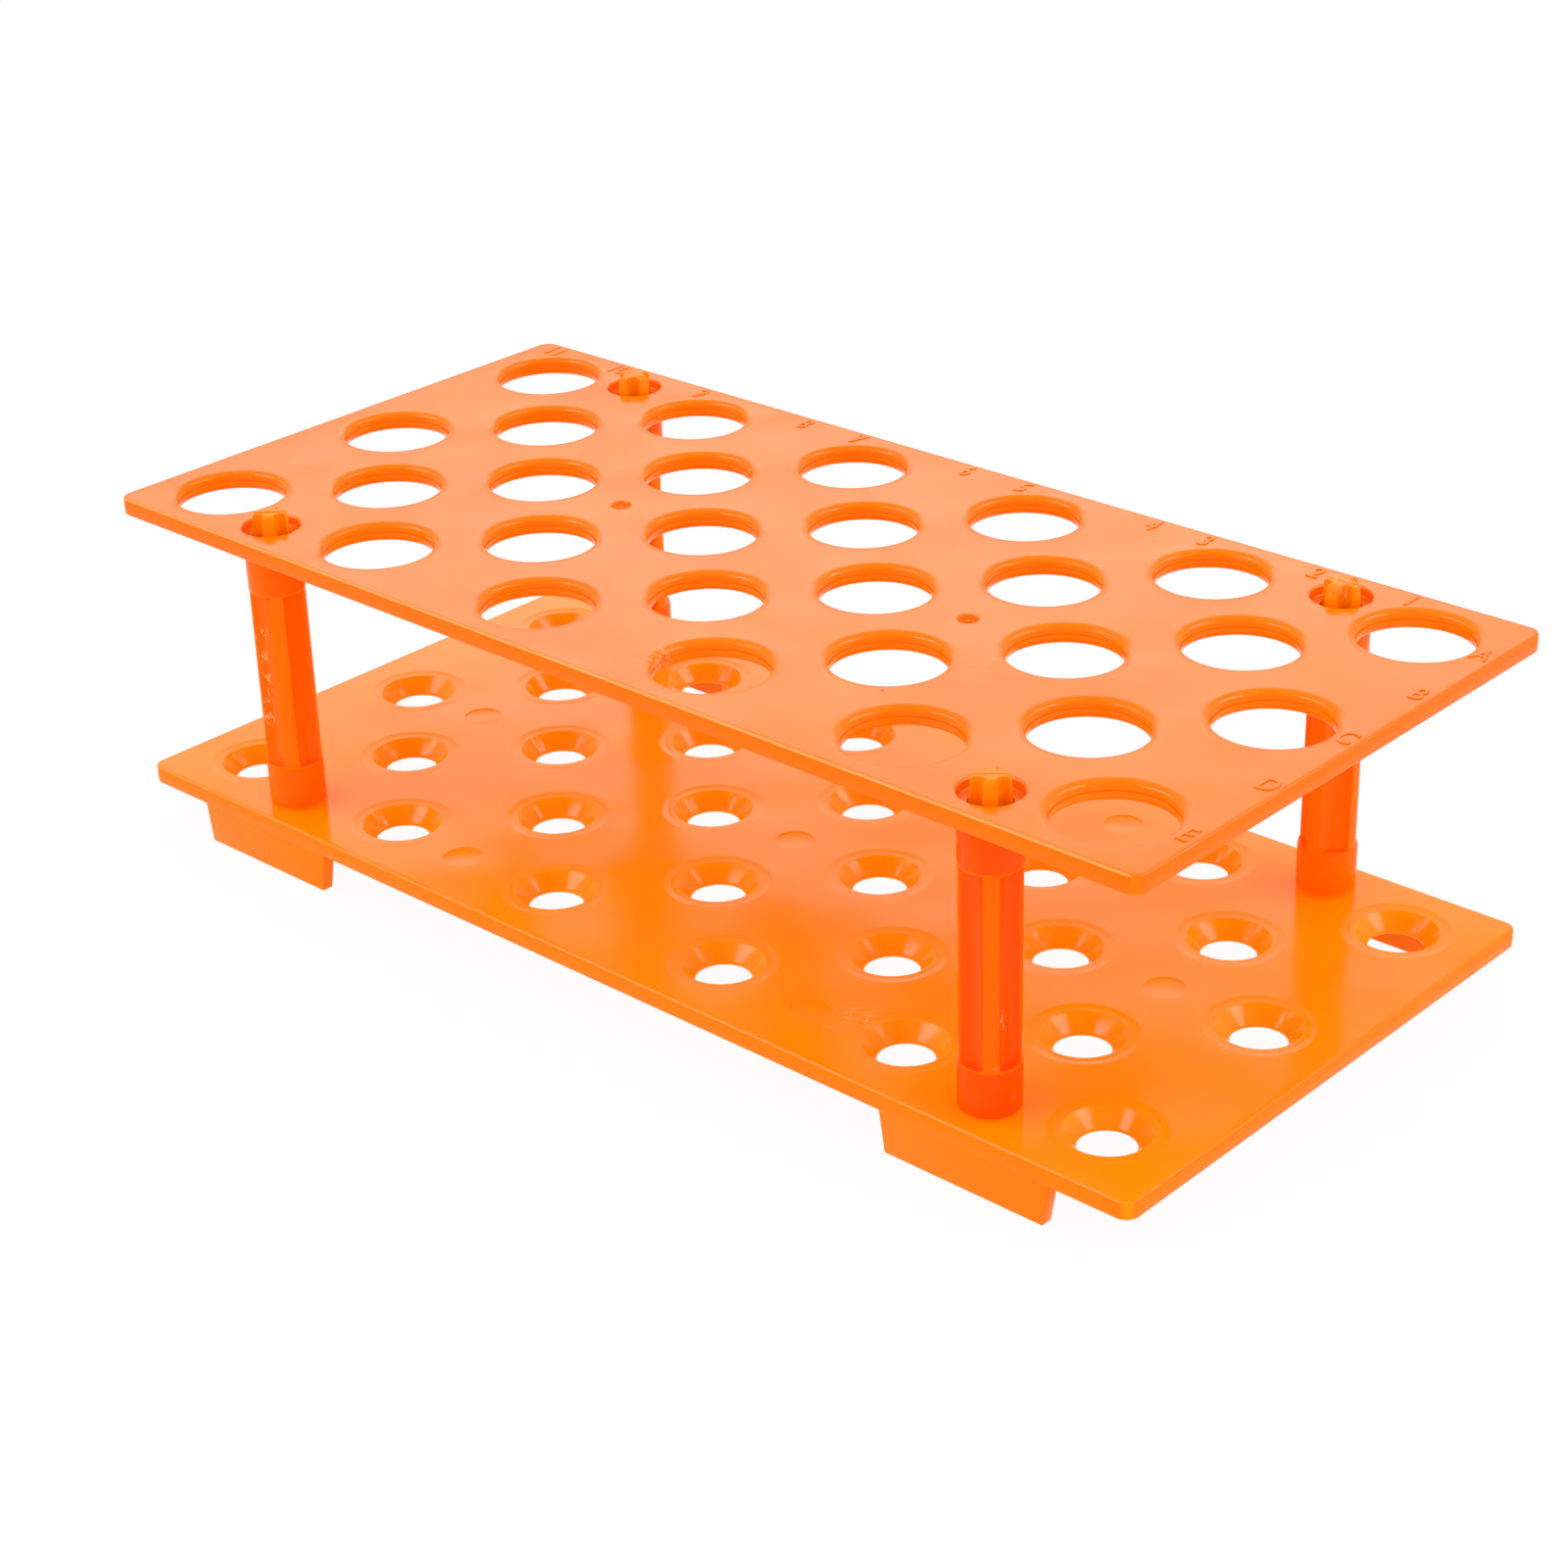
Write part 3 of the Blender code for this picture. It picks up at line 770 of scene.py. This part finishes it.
@dataclass
class LowerPlate(Plate):
    """The plate that seats the tubes' tips: funnels, ejector marks and the feet."""

    # The lower plate's oranges are set lighter than the upper plate's as painted light, lifting the shade
    # that the upper plate casts on it; its edges and feet carry painted shade and a faint painted highlight
    # line.
    finish: MouldedPolypropylene = PlatePolypropylene(
        "moulded_polypropylene_lower", "FF9600", "FF9100", mirror=0.075, brim_level=9.55 * MM,
        brim_strength=0.2, scuffs=(Spot(42.4, -34.7, 9.5, 5.0, 0.6),),
    )
    funnel_rim_radius: float = 6.25 * MM
    funnel_rounding: float = 0.22 * MM
    funnel_steps: int = 5
    throat_radius: float = 4.1 * MM
    throat_land: float = 0.55 * MM
    throat_rounding: float = 0.3 * MM
    throat_edge: float = 0.25 * MM
    throat_brim: float = 0.8 * MM
    halo_reach: tuple[float, float, float] = (0.91 * MM, 1.95 * MM, 2.86 * MM)
    halo_depth: float = 0.08 * MM
    halo_rounding: float = 1.2 * MM
    recess_floor: float = 1.3 * MM
    mark_radius: float = 3.0 * MM
    mark_depth: float = 0.16 * MM
    mark_brim: float = 0.3 * MM
    mark_wall: float = 0.05 * MM
    mark_roundings: Point = (0.08 * MM, 0.03 * MM)
    mark_side_x: float = 70.8 * MM
    mark_corner_x: float = 36.0 * MM
    mark_corner_y: float = 36.7 * MM
    foot_length: float = 27.3 * MM
    foot_taper: float = 1.0 * MM
    foot_shift: float = 0.85 * MM
    foot_thickness: float = 2.2 * MM
    foot_thickness_taper: float = 0.2 * MM
    foot_inset: float = 0.4 * MM
    foot_rounding: float = 0.22 * MM
    foot_segments: int = 3

    def funnel_profile(self) -> list[Point]:
        """Draw a funnel's section, from the top face down to the underside.

        Returns:
            The section.
        """
        rim = self.funnel_rim_radius
        sunk = self.top - self.halo_depth
        near, middle, far = self.halo_reach
        return rounded([
            Bend(rim + far, self.top),
            Bend(rim + middle, self.top, self.halo_rounding),
            Bend(rim + near, sunk, self.halo_rounding),
            Bend(rim, sunk, self.funnel_rounding),
            Bend(self.throat_radius, self.under + self.throat_land, self.throat_rounding),
            Bend(self.throat_radius, self.under, self.throat_edge),
            Bend(self.throat_radius + self.throat_brim, self.under),
        ], self.funnel_steps)

    def mark_profile(self) -> list[Point]:
        """Draw an ejector mark's section: a flat disc a little below the face, with a soft brim.

        Returns:
            The section.
        """
        floor = self.top - self.mark_depth
        upper, lower = self.mark_roundings
        return rounded([
            Bend(self.mark_radius + self.mark_brim, self.top),
            Bend(self.mark_radius, self.top, upper),
            Bend(self.mark_radius - self.mark_wall, floor, lower),
            Bend(0.0, floor),
        ])

    def ejector_places(self) -> list[Point]:
        """Give the places where the mould's ejector pins pushed the plate out."""
        sides = [(-self.mark_side_x, 0.0), (0.0, 0.0), (self.mark_side_x, 0.0)]
        return sides + [(x * self.mark_corner_x, y * self.mark_corner_y) for x in (-1, 1) for y in (-1, 1)]

    def add_foot(self, moulding: Moulding, corner: Corner) -> None:
        """Add one foot: a thin wall that narrows towards the ground, with an open top.

        Args:
            moulding: The plate in the making.
            corner: The foot's corner.
        """
        mesh = moulding.mesh
        middle = self.plan.post_axis(corner)[0] + corner.side * self.foot_shift
        outer = self.plan.half_width - self.foot_inset
        inner = outer - self.foot_thickness
        wall = bmesh.ops.create_cube(mesh, size=1.0)["verts"]
        for vert in wall:
            at_root = vert.co.z > 0
            half = self.foot_length / 2 + (self.foot_taper if at_root else 0.0)
            inner_face = inner + (0.0 if at_root else self.foot_thickness_taper)
            vert.co.x = middle + math.copysign(half, vert.co.x)
            vert.co.y = corner.depth * (outer if vert.co.y > 0 else inner_face)
            vert.co.z = self.under if at_root else 0.0
        edges = list({edge for vert in wall for edge in vert.link_edges})
        root = moulding.at_level(self.under, {face for vert in wall for face in vert.link_faces})
        bmesh.ops.delete(mesh, geom=root, context="FACES_ONLY")
        closed = [edge for edge in edges if len(edge.link_faces) == 2]
        moulding.bevel(closed, self.foot_rounding, self.foot_segments)

    def build(self) -> None:
        """Build the plate with its feet."""
        plan = self.plan
        moulding = Moulding("lower_plate_moulding")
        self.edge_band(moulding)
        moulding.turn(self.funnel_profile(), plan.stations(), self.station_segments)
        seat = self.seat_profile(self.under, self.top - self.recess_floor, self.top)[::-1]
        moulding.turn(seat, plan.post_axes(), self.seat_segments)
        moulding.turn(self.mark_profile(), self.ejector_places(), self.seat_segments)
        for corner in Corner:
            self.add_foot(moulding, corner)
        moulding.fill(self.top, 1.0)
        moulding.fill(self.under, -1.0)
        moulding.finish("lower_plate", "lower_plate", self.finish.material(), self.smooth_degrees)


@dataclass(frozen=True)
class Ring:
    """One level of a post: its height, its outer and core radii and its ribs' width."""

    height: float
    radius: float
    core: float
    rib_width: float


@dataclass
class Post:
    """A post: a cross-shaped peg, a collar, a shank with four flutes, a collar and a cross-shaped peg."""

    plan: RackPlan
    corner: Corner
    finish: bpy.types.Material
    collar_radius: float = 4.45 * MM
    collar_height: float = 7.2 * MM
    collar_rim: float = 0.12 * MM
    rim_softness: float = 0.3
    seat_gap: float = 0.02 * MM
    shank_radius: float = 4.34 * MM
    shank_core: float = 2.9 * MM
    rib_width: float = 2.1 * MM
    flute_runout: float = 0.3 * MM
    flute_shoulder: float = 0.25 * MM
    shoulder_shares: tuple[float, ...] = (1.0, 0.6, 0.3, 0.12, 0.03)
    peg_radius: float = 2.95 * MM
    peg_tip_radius: float = 2.65 * MM
    peg_core: float = 1.65 * MM
    peg_rib_width: float = 2.4 * MM
    peg_chamfer: float = 0.4 * MM
    peg_chamfer_middle: Point = (0.3, 0.45)
    tip_step: float = 0.06 * MM
    rib_samples: int = 7
    flute_samples: int = 15
    edge_softness: float = 0.3 * MM
    smooth_degrees: float = 35.0

    @cached_property
    def axis(self) -> Point:
        """Give the post's place along and across the rack."""
        return self.plan.post_axis(self.corner)

    def section(self, ring: Ring) -> list[Point]:
        """Work out one level's outline: four ribs on the outer circle and four hollow flutes between them.

        Args:
            ring: The level.

        Returns:
            Points round the outline, as angles and radii.
        """
        rib_half = math.asin(ring.rib_width / 2 / ring.radius)
        quarter = math.tau / 4
        angles = [rib_half * (2 * sample / (self.rib_samples - 1) - 1) for sample in range(self.rib_samples)]
        angles += [
            rib_half + (quarter - 2 * rib_half) * (sample / self.flute_samples)
            for sample in range(1, self.flute_samples)
        ]
        return [(turn * quarter + angle, self.reach(ring, angle)) for turn in range(4) for angle in angles]

    def reach(self, ring: Ring, angle: float) -> float:
        """Give the outline's distance from the axis at an angle from a rib's middle.

        Args:
            ring: The level.
            angle: The angle.

        Returns:
            The distance, a little less where a rib turns into a flute, so that the edge is soft.
        """
        if ring.radius - ring.core < TOUCH:
            return ring.radius
        middle = math.tau / 8
        half_angle = middle - math.asin(ring.rib_width / 2 / ring.radius)
        along = ring.radius * math.cos(half_angle)
        distance = (ring.radius ** 2 - ring.core ** 2) / (2 * (along - ring.core))
        hollow = distance - ring.core
        aside = distance * math.sin(angle - middle)
        if abs(aside) >= hollow:
            return ring.radius
        flute = distance * math.cos(angle - middle) - math.sqrt(hollow ** 2 - aside ** 2)
        blend = max(self.edge_softness - abs(flute - ring.radius), 0.0) / self.edge_softness
        return min(flute, ring.radius) - blend ** 2 * self.edge_softness / 4

    def rings(self) -> list[Ring]:
        """List the post's levels.

        Returns:
            The levels, from the lower peg's tip to the upper peg's tip.
        """
        low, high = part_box(self.corner.node)
        twice_middle = self.plan.lower_top + self.plan.upper_underside
        shoulder = self.plan.upper_underside - self.seat_gap
        upper = self.half_rings(shoulder, high.z - self.tip_step)
        lower = self.half_rings(shoulder, twice_middle - low.z)
        mirrored = [replace(ring, height=twice_middle - ring.height) for ring in lower]
        return mirrored[::-1] + upper

    def half_rings(self, shoulder: float, tip: float) -> list[Ring]:
        """List the levels of one half, from the shank up to a peg's tip.

        Args:
            shoulder: The level of the collar's end face.
            tip: The level of the peg's tip.

        Returns:
            The levels, from the shank outwards.
        """
        rim = shoulder - self.collar_height
        flute_end = rim - self.flute_runout
        soft_rim = self.rim_softness * self.collar_rim
        rings = []
        for share in self.shoulder_shares:
            depth = (1 - (1 - math.sqrt(share)) ** 2) * (self.shank_radius - self.shank_core)
            height = flute_end - self.flute_shoulder * share
            rings.append(Ring(height, self.shank_radius, self.shank_radius - depth, self.rib_width))
        for height, radius in (
            (flute_end, self.shank_radius),
            (rim - self.seat_gap, self.shank_radius),
            (rim, self.collar_radius - self.collar_rim),
            (rim + soft_rim, self.collar_radius - soft_rim),
            (rim + self.collar_rim, self.collar_radius),
            (shoulder, self.collar_radius),
        ):
            rings.append(Ring(height, radius, radius, self.rib_width))
        taper = self.peg_tip_radius / self.peg_radius
        below, inward = self.peg_chamfer_middle
        for height, shrink, chamfer in (
            (shoulder + self.seat_gap, 1.0, 0.0),
            (tip - self.peg_chamfer, taper, 0.0),
            (tip - below * self.peg_chamfer, taper, inward * self.peg_chamfer),
            (tip, taper, self.peg_chamfer),
        ):
            radius = self.peg_radius * shrink - chamfer
            core = self.peg_core * shrink - chamfer / 2
            rings.append(Ring(height, radius, core, self.peg_rib_width * shrink - chamfer))
        return rings

    def build(self) -> None:
        """Build the post, ring by ring."""
        moulding = Moulding(f"{self.corner.node}_moulding")
        mesh = moulding.mesh
        rings = self.rings()
        count = 4 * (self.rib_samples + self.flute_samples - 1)
        circle = bmesh.ops.create_circle(mesh, segments=count, radius=1.0, cap_ends=False)["verts"]
        loop = sorted(circle, key=lambda vert: math.atan2(vert.co.y, vert.co.x) % math.tau)
        self.shape(loop, rings[0])
        bmesh.ops.contextual_create(mesh, geom=mesh.edges[:])
        for ring in rings[1:]:
            edges = [edge for edge in mesh.edges if edge.is_boundary]
            raised = set(bmesh.ops.extrude_edge_only(mesh, edges=edges)["geom"])
            loop = [
                next(edge.other_vert(vert) for edge in vert.link_edges if edge.other_vert(vert) in raised)
                for vert in loop
            ]
            self.shape(loop, ring)
        bmesh.ops.contextual_create(mesh, geom=[edge for edge in mesh.edges if edge.is_boundary])
        self.step_tip(moulding, rings[-1].height)
        moulding.finish(self.corner.node, "post", self.finish, self.smooth_degrees)

    def step_tip(self, moulding: Moulding, level: float) -> None:
        """Step the upper peg's end where the mould's halves met, the back half a hair higher.

        Args:
            moulding: The post in the making.
            level: The height of the peg's end.
        """
        mesh = moulding.mesh
        middle = Vector((*self.axis, level))
        back = Vector((-math.sin(self.corner.turn), math.cos(self.corner.turn), 0.0))
        end = moulding.at_level(level, mesh.faces)
        edges = {edge for face in end for edge in face.edges}
        verts = {vert for face in end for vert in face.verts}
        bmesh.ops.bisect_plane(mesh, geom=[*end, *edges, *verts], dist=TOUCH, plane_co=middle, plane_no=back)
        high_half = [
            face for face in moulding.at_level(level, mesh.faces)
            if (face.calc_center_median() - middle).dot(back) > 0
        ]
        raised = bmesh.ops.extrude_face_region(mesh, geom=high_half)["geom"]
        verts = [item for item in raised if isinstance(item, bmesh.types.BMVert)]
        bmesh.ops.translate(mesh, verts=verts, vec=(0.0, 0.0, self.tip_step))

    def shape(self, loop: list[bmesh.types.BMVert], ring: Ring) -> None:
        """Move a ring's points to the post's outline at its level.

        Args:
            loop: The points, in order.
            ring: The level.
        """
        x, y = self.axis
        for vert, (angle, radius) in zip(loop, self.section(ring)):
            turned = angle + self.corner.turn
            vert.co = Vector((x + radius * math.cos(turned), y + radius * math.sin(turned), ring.height))


@dataclass
class GridMarks:
    """Raised grid marks on the upper plate: numbers along the back edge, letters down the right end."""

    plan: RackPlan
    finish: bpy.types.Material
    size: float = 5.2 * MM
    narrowing: float = 0.74
    number_y: float = 44.3 * MM
    numbers_x: tuple[float, ...] = (80.0, 64.0, 44.3, 34.5, 9.5, -1.7, -24.8, -36.2, -59.9, -79.4, -95.0)
    letter_x: float = 97.7 * MM
    letters_y: tuple[float, ...] = (34.5, 18.3, 1.0, -16.7, -34.3)
    relief: float = 0.16 * MM
    sunk: float = 0.05 * MM
    edge: float = 0.05 * MM
    curve_steps: int = 4
    smooth_degrees: float = 30.0

    def places(self) -> Iterable[tuple[str, Point]]:
        """Give the marks.

        Returns:
            Each mark's text and place.
        """
        for number, x in enumerate(self.numbers_x, start=1):
            yield str(number), (x * MM, self.number_y)
        for letter, y in zip("ABCDE", self.letters_y):
            yield letter, (self.letter_x, y * MM)

    def build(self) -> None:
        """Build all the marks as one piece."""
        moulding = Moulding("grid_marks")
        middle = self.plan.upper_top + (self.relief - self.sunk) / 2
        narrow = Matrix.Diagonal((self.narrowing, 1.0, 1.0, 1.0))
        for text, (x, y) in self.places():
            curve = bpy.data.curves.new("mark", "FONT")
            curve.body = text
            curve.size = self.size
            curve.align_x = "CENTER"
            curve.align_y = "CENTER"
            curve.extrude = (self.relief + self.sunk) / 2 - self.edge
            curve.bevel_depth = self.edge
            curve.resolution_u = self.curve_steps
            holder = bpy.data.objects.new("mark", curve)
            bpy.context.scene.collection.objects.link(holder)
            bpy.context.view_layer.update()
            seen = holder.evaluated_get(bpy.context.evaluated_depsgraph_get())
            solid = bpy.data.meshes.new_from_object(seen)
            solid.transform(Matrix.Translation((x, y, middle)) @ narrow)
            moulding.mesh.from_mesh(solid)
            bpy.data.objects.remove(holder, do_unlink=True)
        bmesh.ops.remove_doubles(moulding.mesh, verts=moulding.mesh.verts, dist=TOUCH)
        for face in moulding.mesh.faces:
            face.material_index = 0
        moulding.finish("", "upper_plate", self.finish, self.smooth_degrees)


@dataclass
class Studio:
    """The plain pale floor, the soft light and the camera."""

    lens: float = 74.36
    camera_place: Place = (302.65 * MM, -326.95 * MM, 243.25 * MM)
    azimuth_degrees: float = 42.97
    elevation_degrees: float = 26.68
    roll_degrees: float = -1.65
    clip_start: float = 10.0 * MM
    floor_drop: float = 0.1 * MM
    floor_half: float = 4.0
    floor_colour: Hex = "FAFAFA"
    floor_glow: float = 0.955
    floor_lift: float = 0.7
    horizon_level: float = 2.7
    zenith_level: float = 1.5
    zenith_start: float = 0.9
    middle_share: float = 0.45
    middle_fade: Point = (0.1, 0.8)
    screen_level: float = 3.4
    screen_side_degrees: float = 2.0
    screen_side: Point = (0.925, 0.998)
    screen_foot: Point = (0.30, 0.40)
    screen_top: Point = (0.62, 0.34)
    lamp_ways: tuple[tuple[str, float, float], ...] = (
        ("right_soft_box", 84.0, 44.0), ("left_soft_box", -84.0, 46.0),
    )
    lamp_distance: float = 1.2
    lamp_size: Point = (1.0, 0.4)
    lamp_power: float = 22.0

    def build(self) -> None:
        """Build the floor, the light and the camera."""
        self.floor()
        self.world()
        self.lamps()
        self.camera()
        bpy.context.scene.view_settings.view_transform = "Standard"

    def floor(self) -> None:
        """Lay the floor: pale paint, white to the camera and in reflections, that also gives light."""
        mesh = bmesh.new()
        bmesh.ops.create_grid(mesh, x_segments=1, y_segments=1, size=self.floor_half)
        bmesh.ops.translate(mesh, verts=mesh.verts, vec=(0.0, 0.0, -self.floor_drop))
        data = bpy.data.meshes.new("floor")
        mesh.to_mesh(data)
        mesh.free()
        material = bpy.data.materials.new("matt_white_floor_paint")
        material.use_nodes = True
        material.node_tree.nodes.clear()
        sheet = Sheet(material.node_tree)
        rays = sheet.add("LightPath").node.outputs
        seen = rays["Is Camera Ray"]
        for other in ("Is Glossy Ray", "Is Transmission Ray"):
            seen = sheet.add("Math", (seen, rays[other]), operation="MAXIMUM")
        share = sheet.add("MapRange", (seen, 0.0, 1.0, self.floor_lift, self.floor_glow))
        paint = sheet.add("BsdfDiffuse", {"Color": linear(self.floor_colour)})
        white = sheet.add("Emission", {"Strength": 1.0})
        sheet.add("OutputMaterial", (sheet.add("MixShader", (share, paint, white)),))
        data.materials.append(material)
        plane = bpy.data.objects.new("floor", data)
        bpy.context.scene.collection.objects.link(plane)
        log.info("floor laid")

    def world(self) -> None:
        """Light the room: bright sides, dimmer front and back, a screen behind, and white to the camera."""
        world = bpy.data.worlds.new("studio")
        bpy.context.scene.world = world
        world.use_nodes = True
        world.node_tree.nodes.clear()
        sheet = Sheet(world.node_tree, "Generated")
        azimuth = math.radians(self.azimuth_degrees - self.screen_side_degrees)
        back = (-math.sin(azimuth), math.cos(azimuth), 0.0)
        level_way = sheet.add("VectorMath", (sheet.place, (1.0, 1.0, 0.0)), operation="MULTIPLY")
        level_way = sheet.add("VectorMath", (level_way,), operation="NORMALIZE")
        facing = sheet.add("VectorMath", (level_way, back), "Value", operation="DOT_PRODUCT")
        height = sheet.add("SeparateXYZ", (sheet.place,), "Z")
        screen = self.screen_level
        edges = (facing, self.screen_side), (height, self.screen_foot), (height, self.screen_top)
        for value, edge in edges:
            inside = sheet.add("MapRange", (value, *edge), interpolation_type="SMOOTHSTEP")
            screen = sheet.add("Math", (inside, screen), operation="MULTIPLY")
        room = sheet.add("MapRange", (height, 0.0, self.zenith_start, self.horizon_level, self.zenith_level))
        middle = sheet.add("Math", (facing,), operation="ABSOLUTE")
        side = sheet.add("MapRange", (middle, *self.middle_fade, 1.0, self.middle_share))
        room = sheet.add("Math", (room, side, screen), operation="MULTIPLY_ADD")
        room = sheet.add("Background", {"Color": linear("FFFFFF"), "Strength": room})
        white = sheet.add("Background", {"Color": linear("FFFFFF"), "Strength": 1.0})
        seen = sheet.add("LightPath", out="Is Camera Ray")
        sheet.add("OutputWorld", (sheet.add("MixShader", (seen, room, white)),))

    def lamps(self) -> None:
        """Hang a soft lamp on each side, which faces the rack and shows only as a reflection in the gloss."""
        for name, side_degrees, rise_degrees in self.lamp_ways:
            data = bpy.data.lights.new(name, "AREA")
            data.shape = "RECTANGLE"
            data.size, data.size_y = self.lamp_size
            data.energy = self.lamp_power
            lamp = bpy.data.objects.new(name, data)
            lamp.visible_diffuse = False
            side = math.radians(self.azimuth_degrees + side_degrees)
            rise = math.radians(rise_degrees)
            away = math.cos(rise)
            towards = Vector((math.sin(side) * away, -math.cos(side) * away, math.sin(rise)))
            lamp.location = towards * self.lamp_distance
            lamp.rotation_euler = (-towards).to_track_quat("-Z", "Y").to_euler()
            bpy.context.scene.collection.objects.link(lamp)

    def camera(self) -> None:
        """Set the camera at the photograph's viewing angle."""
        data = bpy.data.cameras.new("camera")
        data.lens = self.lens
        data.clip_start = self.clip_start
        camera = bpy.data.objects.new("camera", data)
        turn = Matrix.Rotation(math.radians(self.azimuth_degrees), 4, "Z")
        tilt = Matrix.Rotation(math.radians(90.0 - self.elevation_degrees), 4, "X")
        roll = Matrix.Rotation(math.radians(self.roll_degrees), 4, "Z")
        camera.matrix_world = Matrix.Translation(self.camera_place) @ turn @ tilt @ roll
        bpy.context.scene.collection.objects.link(camera)
        bpy.context.scene.camera = camera


def main() -> None:
    """Build the rack and the studio."""
    logging.basicConfig(level=logging.INFO, format="%(name)s: %(message)s")
    Studio().build()
    plan = RackPlan()
    upper = UpperPlate(plan, plan.upper_underside, plan.upper_top)
    upper.build()
    LowerPlate(plan, plan.lower_underside, plan.lower_top).build()
    for corner in Corner:
        Post(plan, corner, post_plastic(corner).material()).build()
    GridMarks(plan, bpy.data.materials[upper.finish.name]).build()


if __name__ == "__main__":
    main()
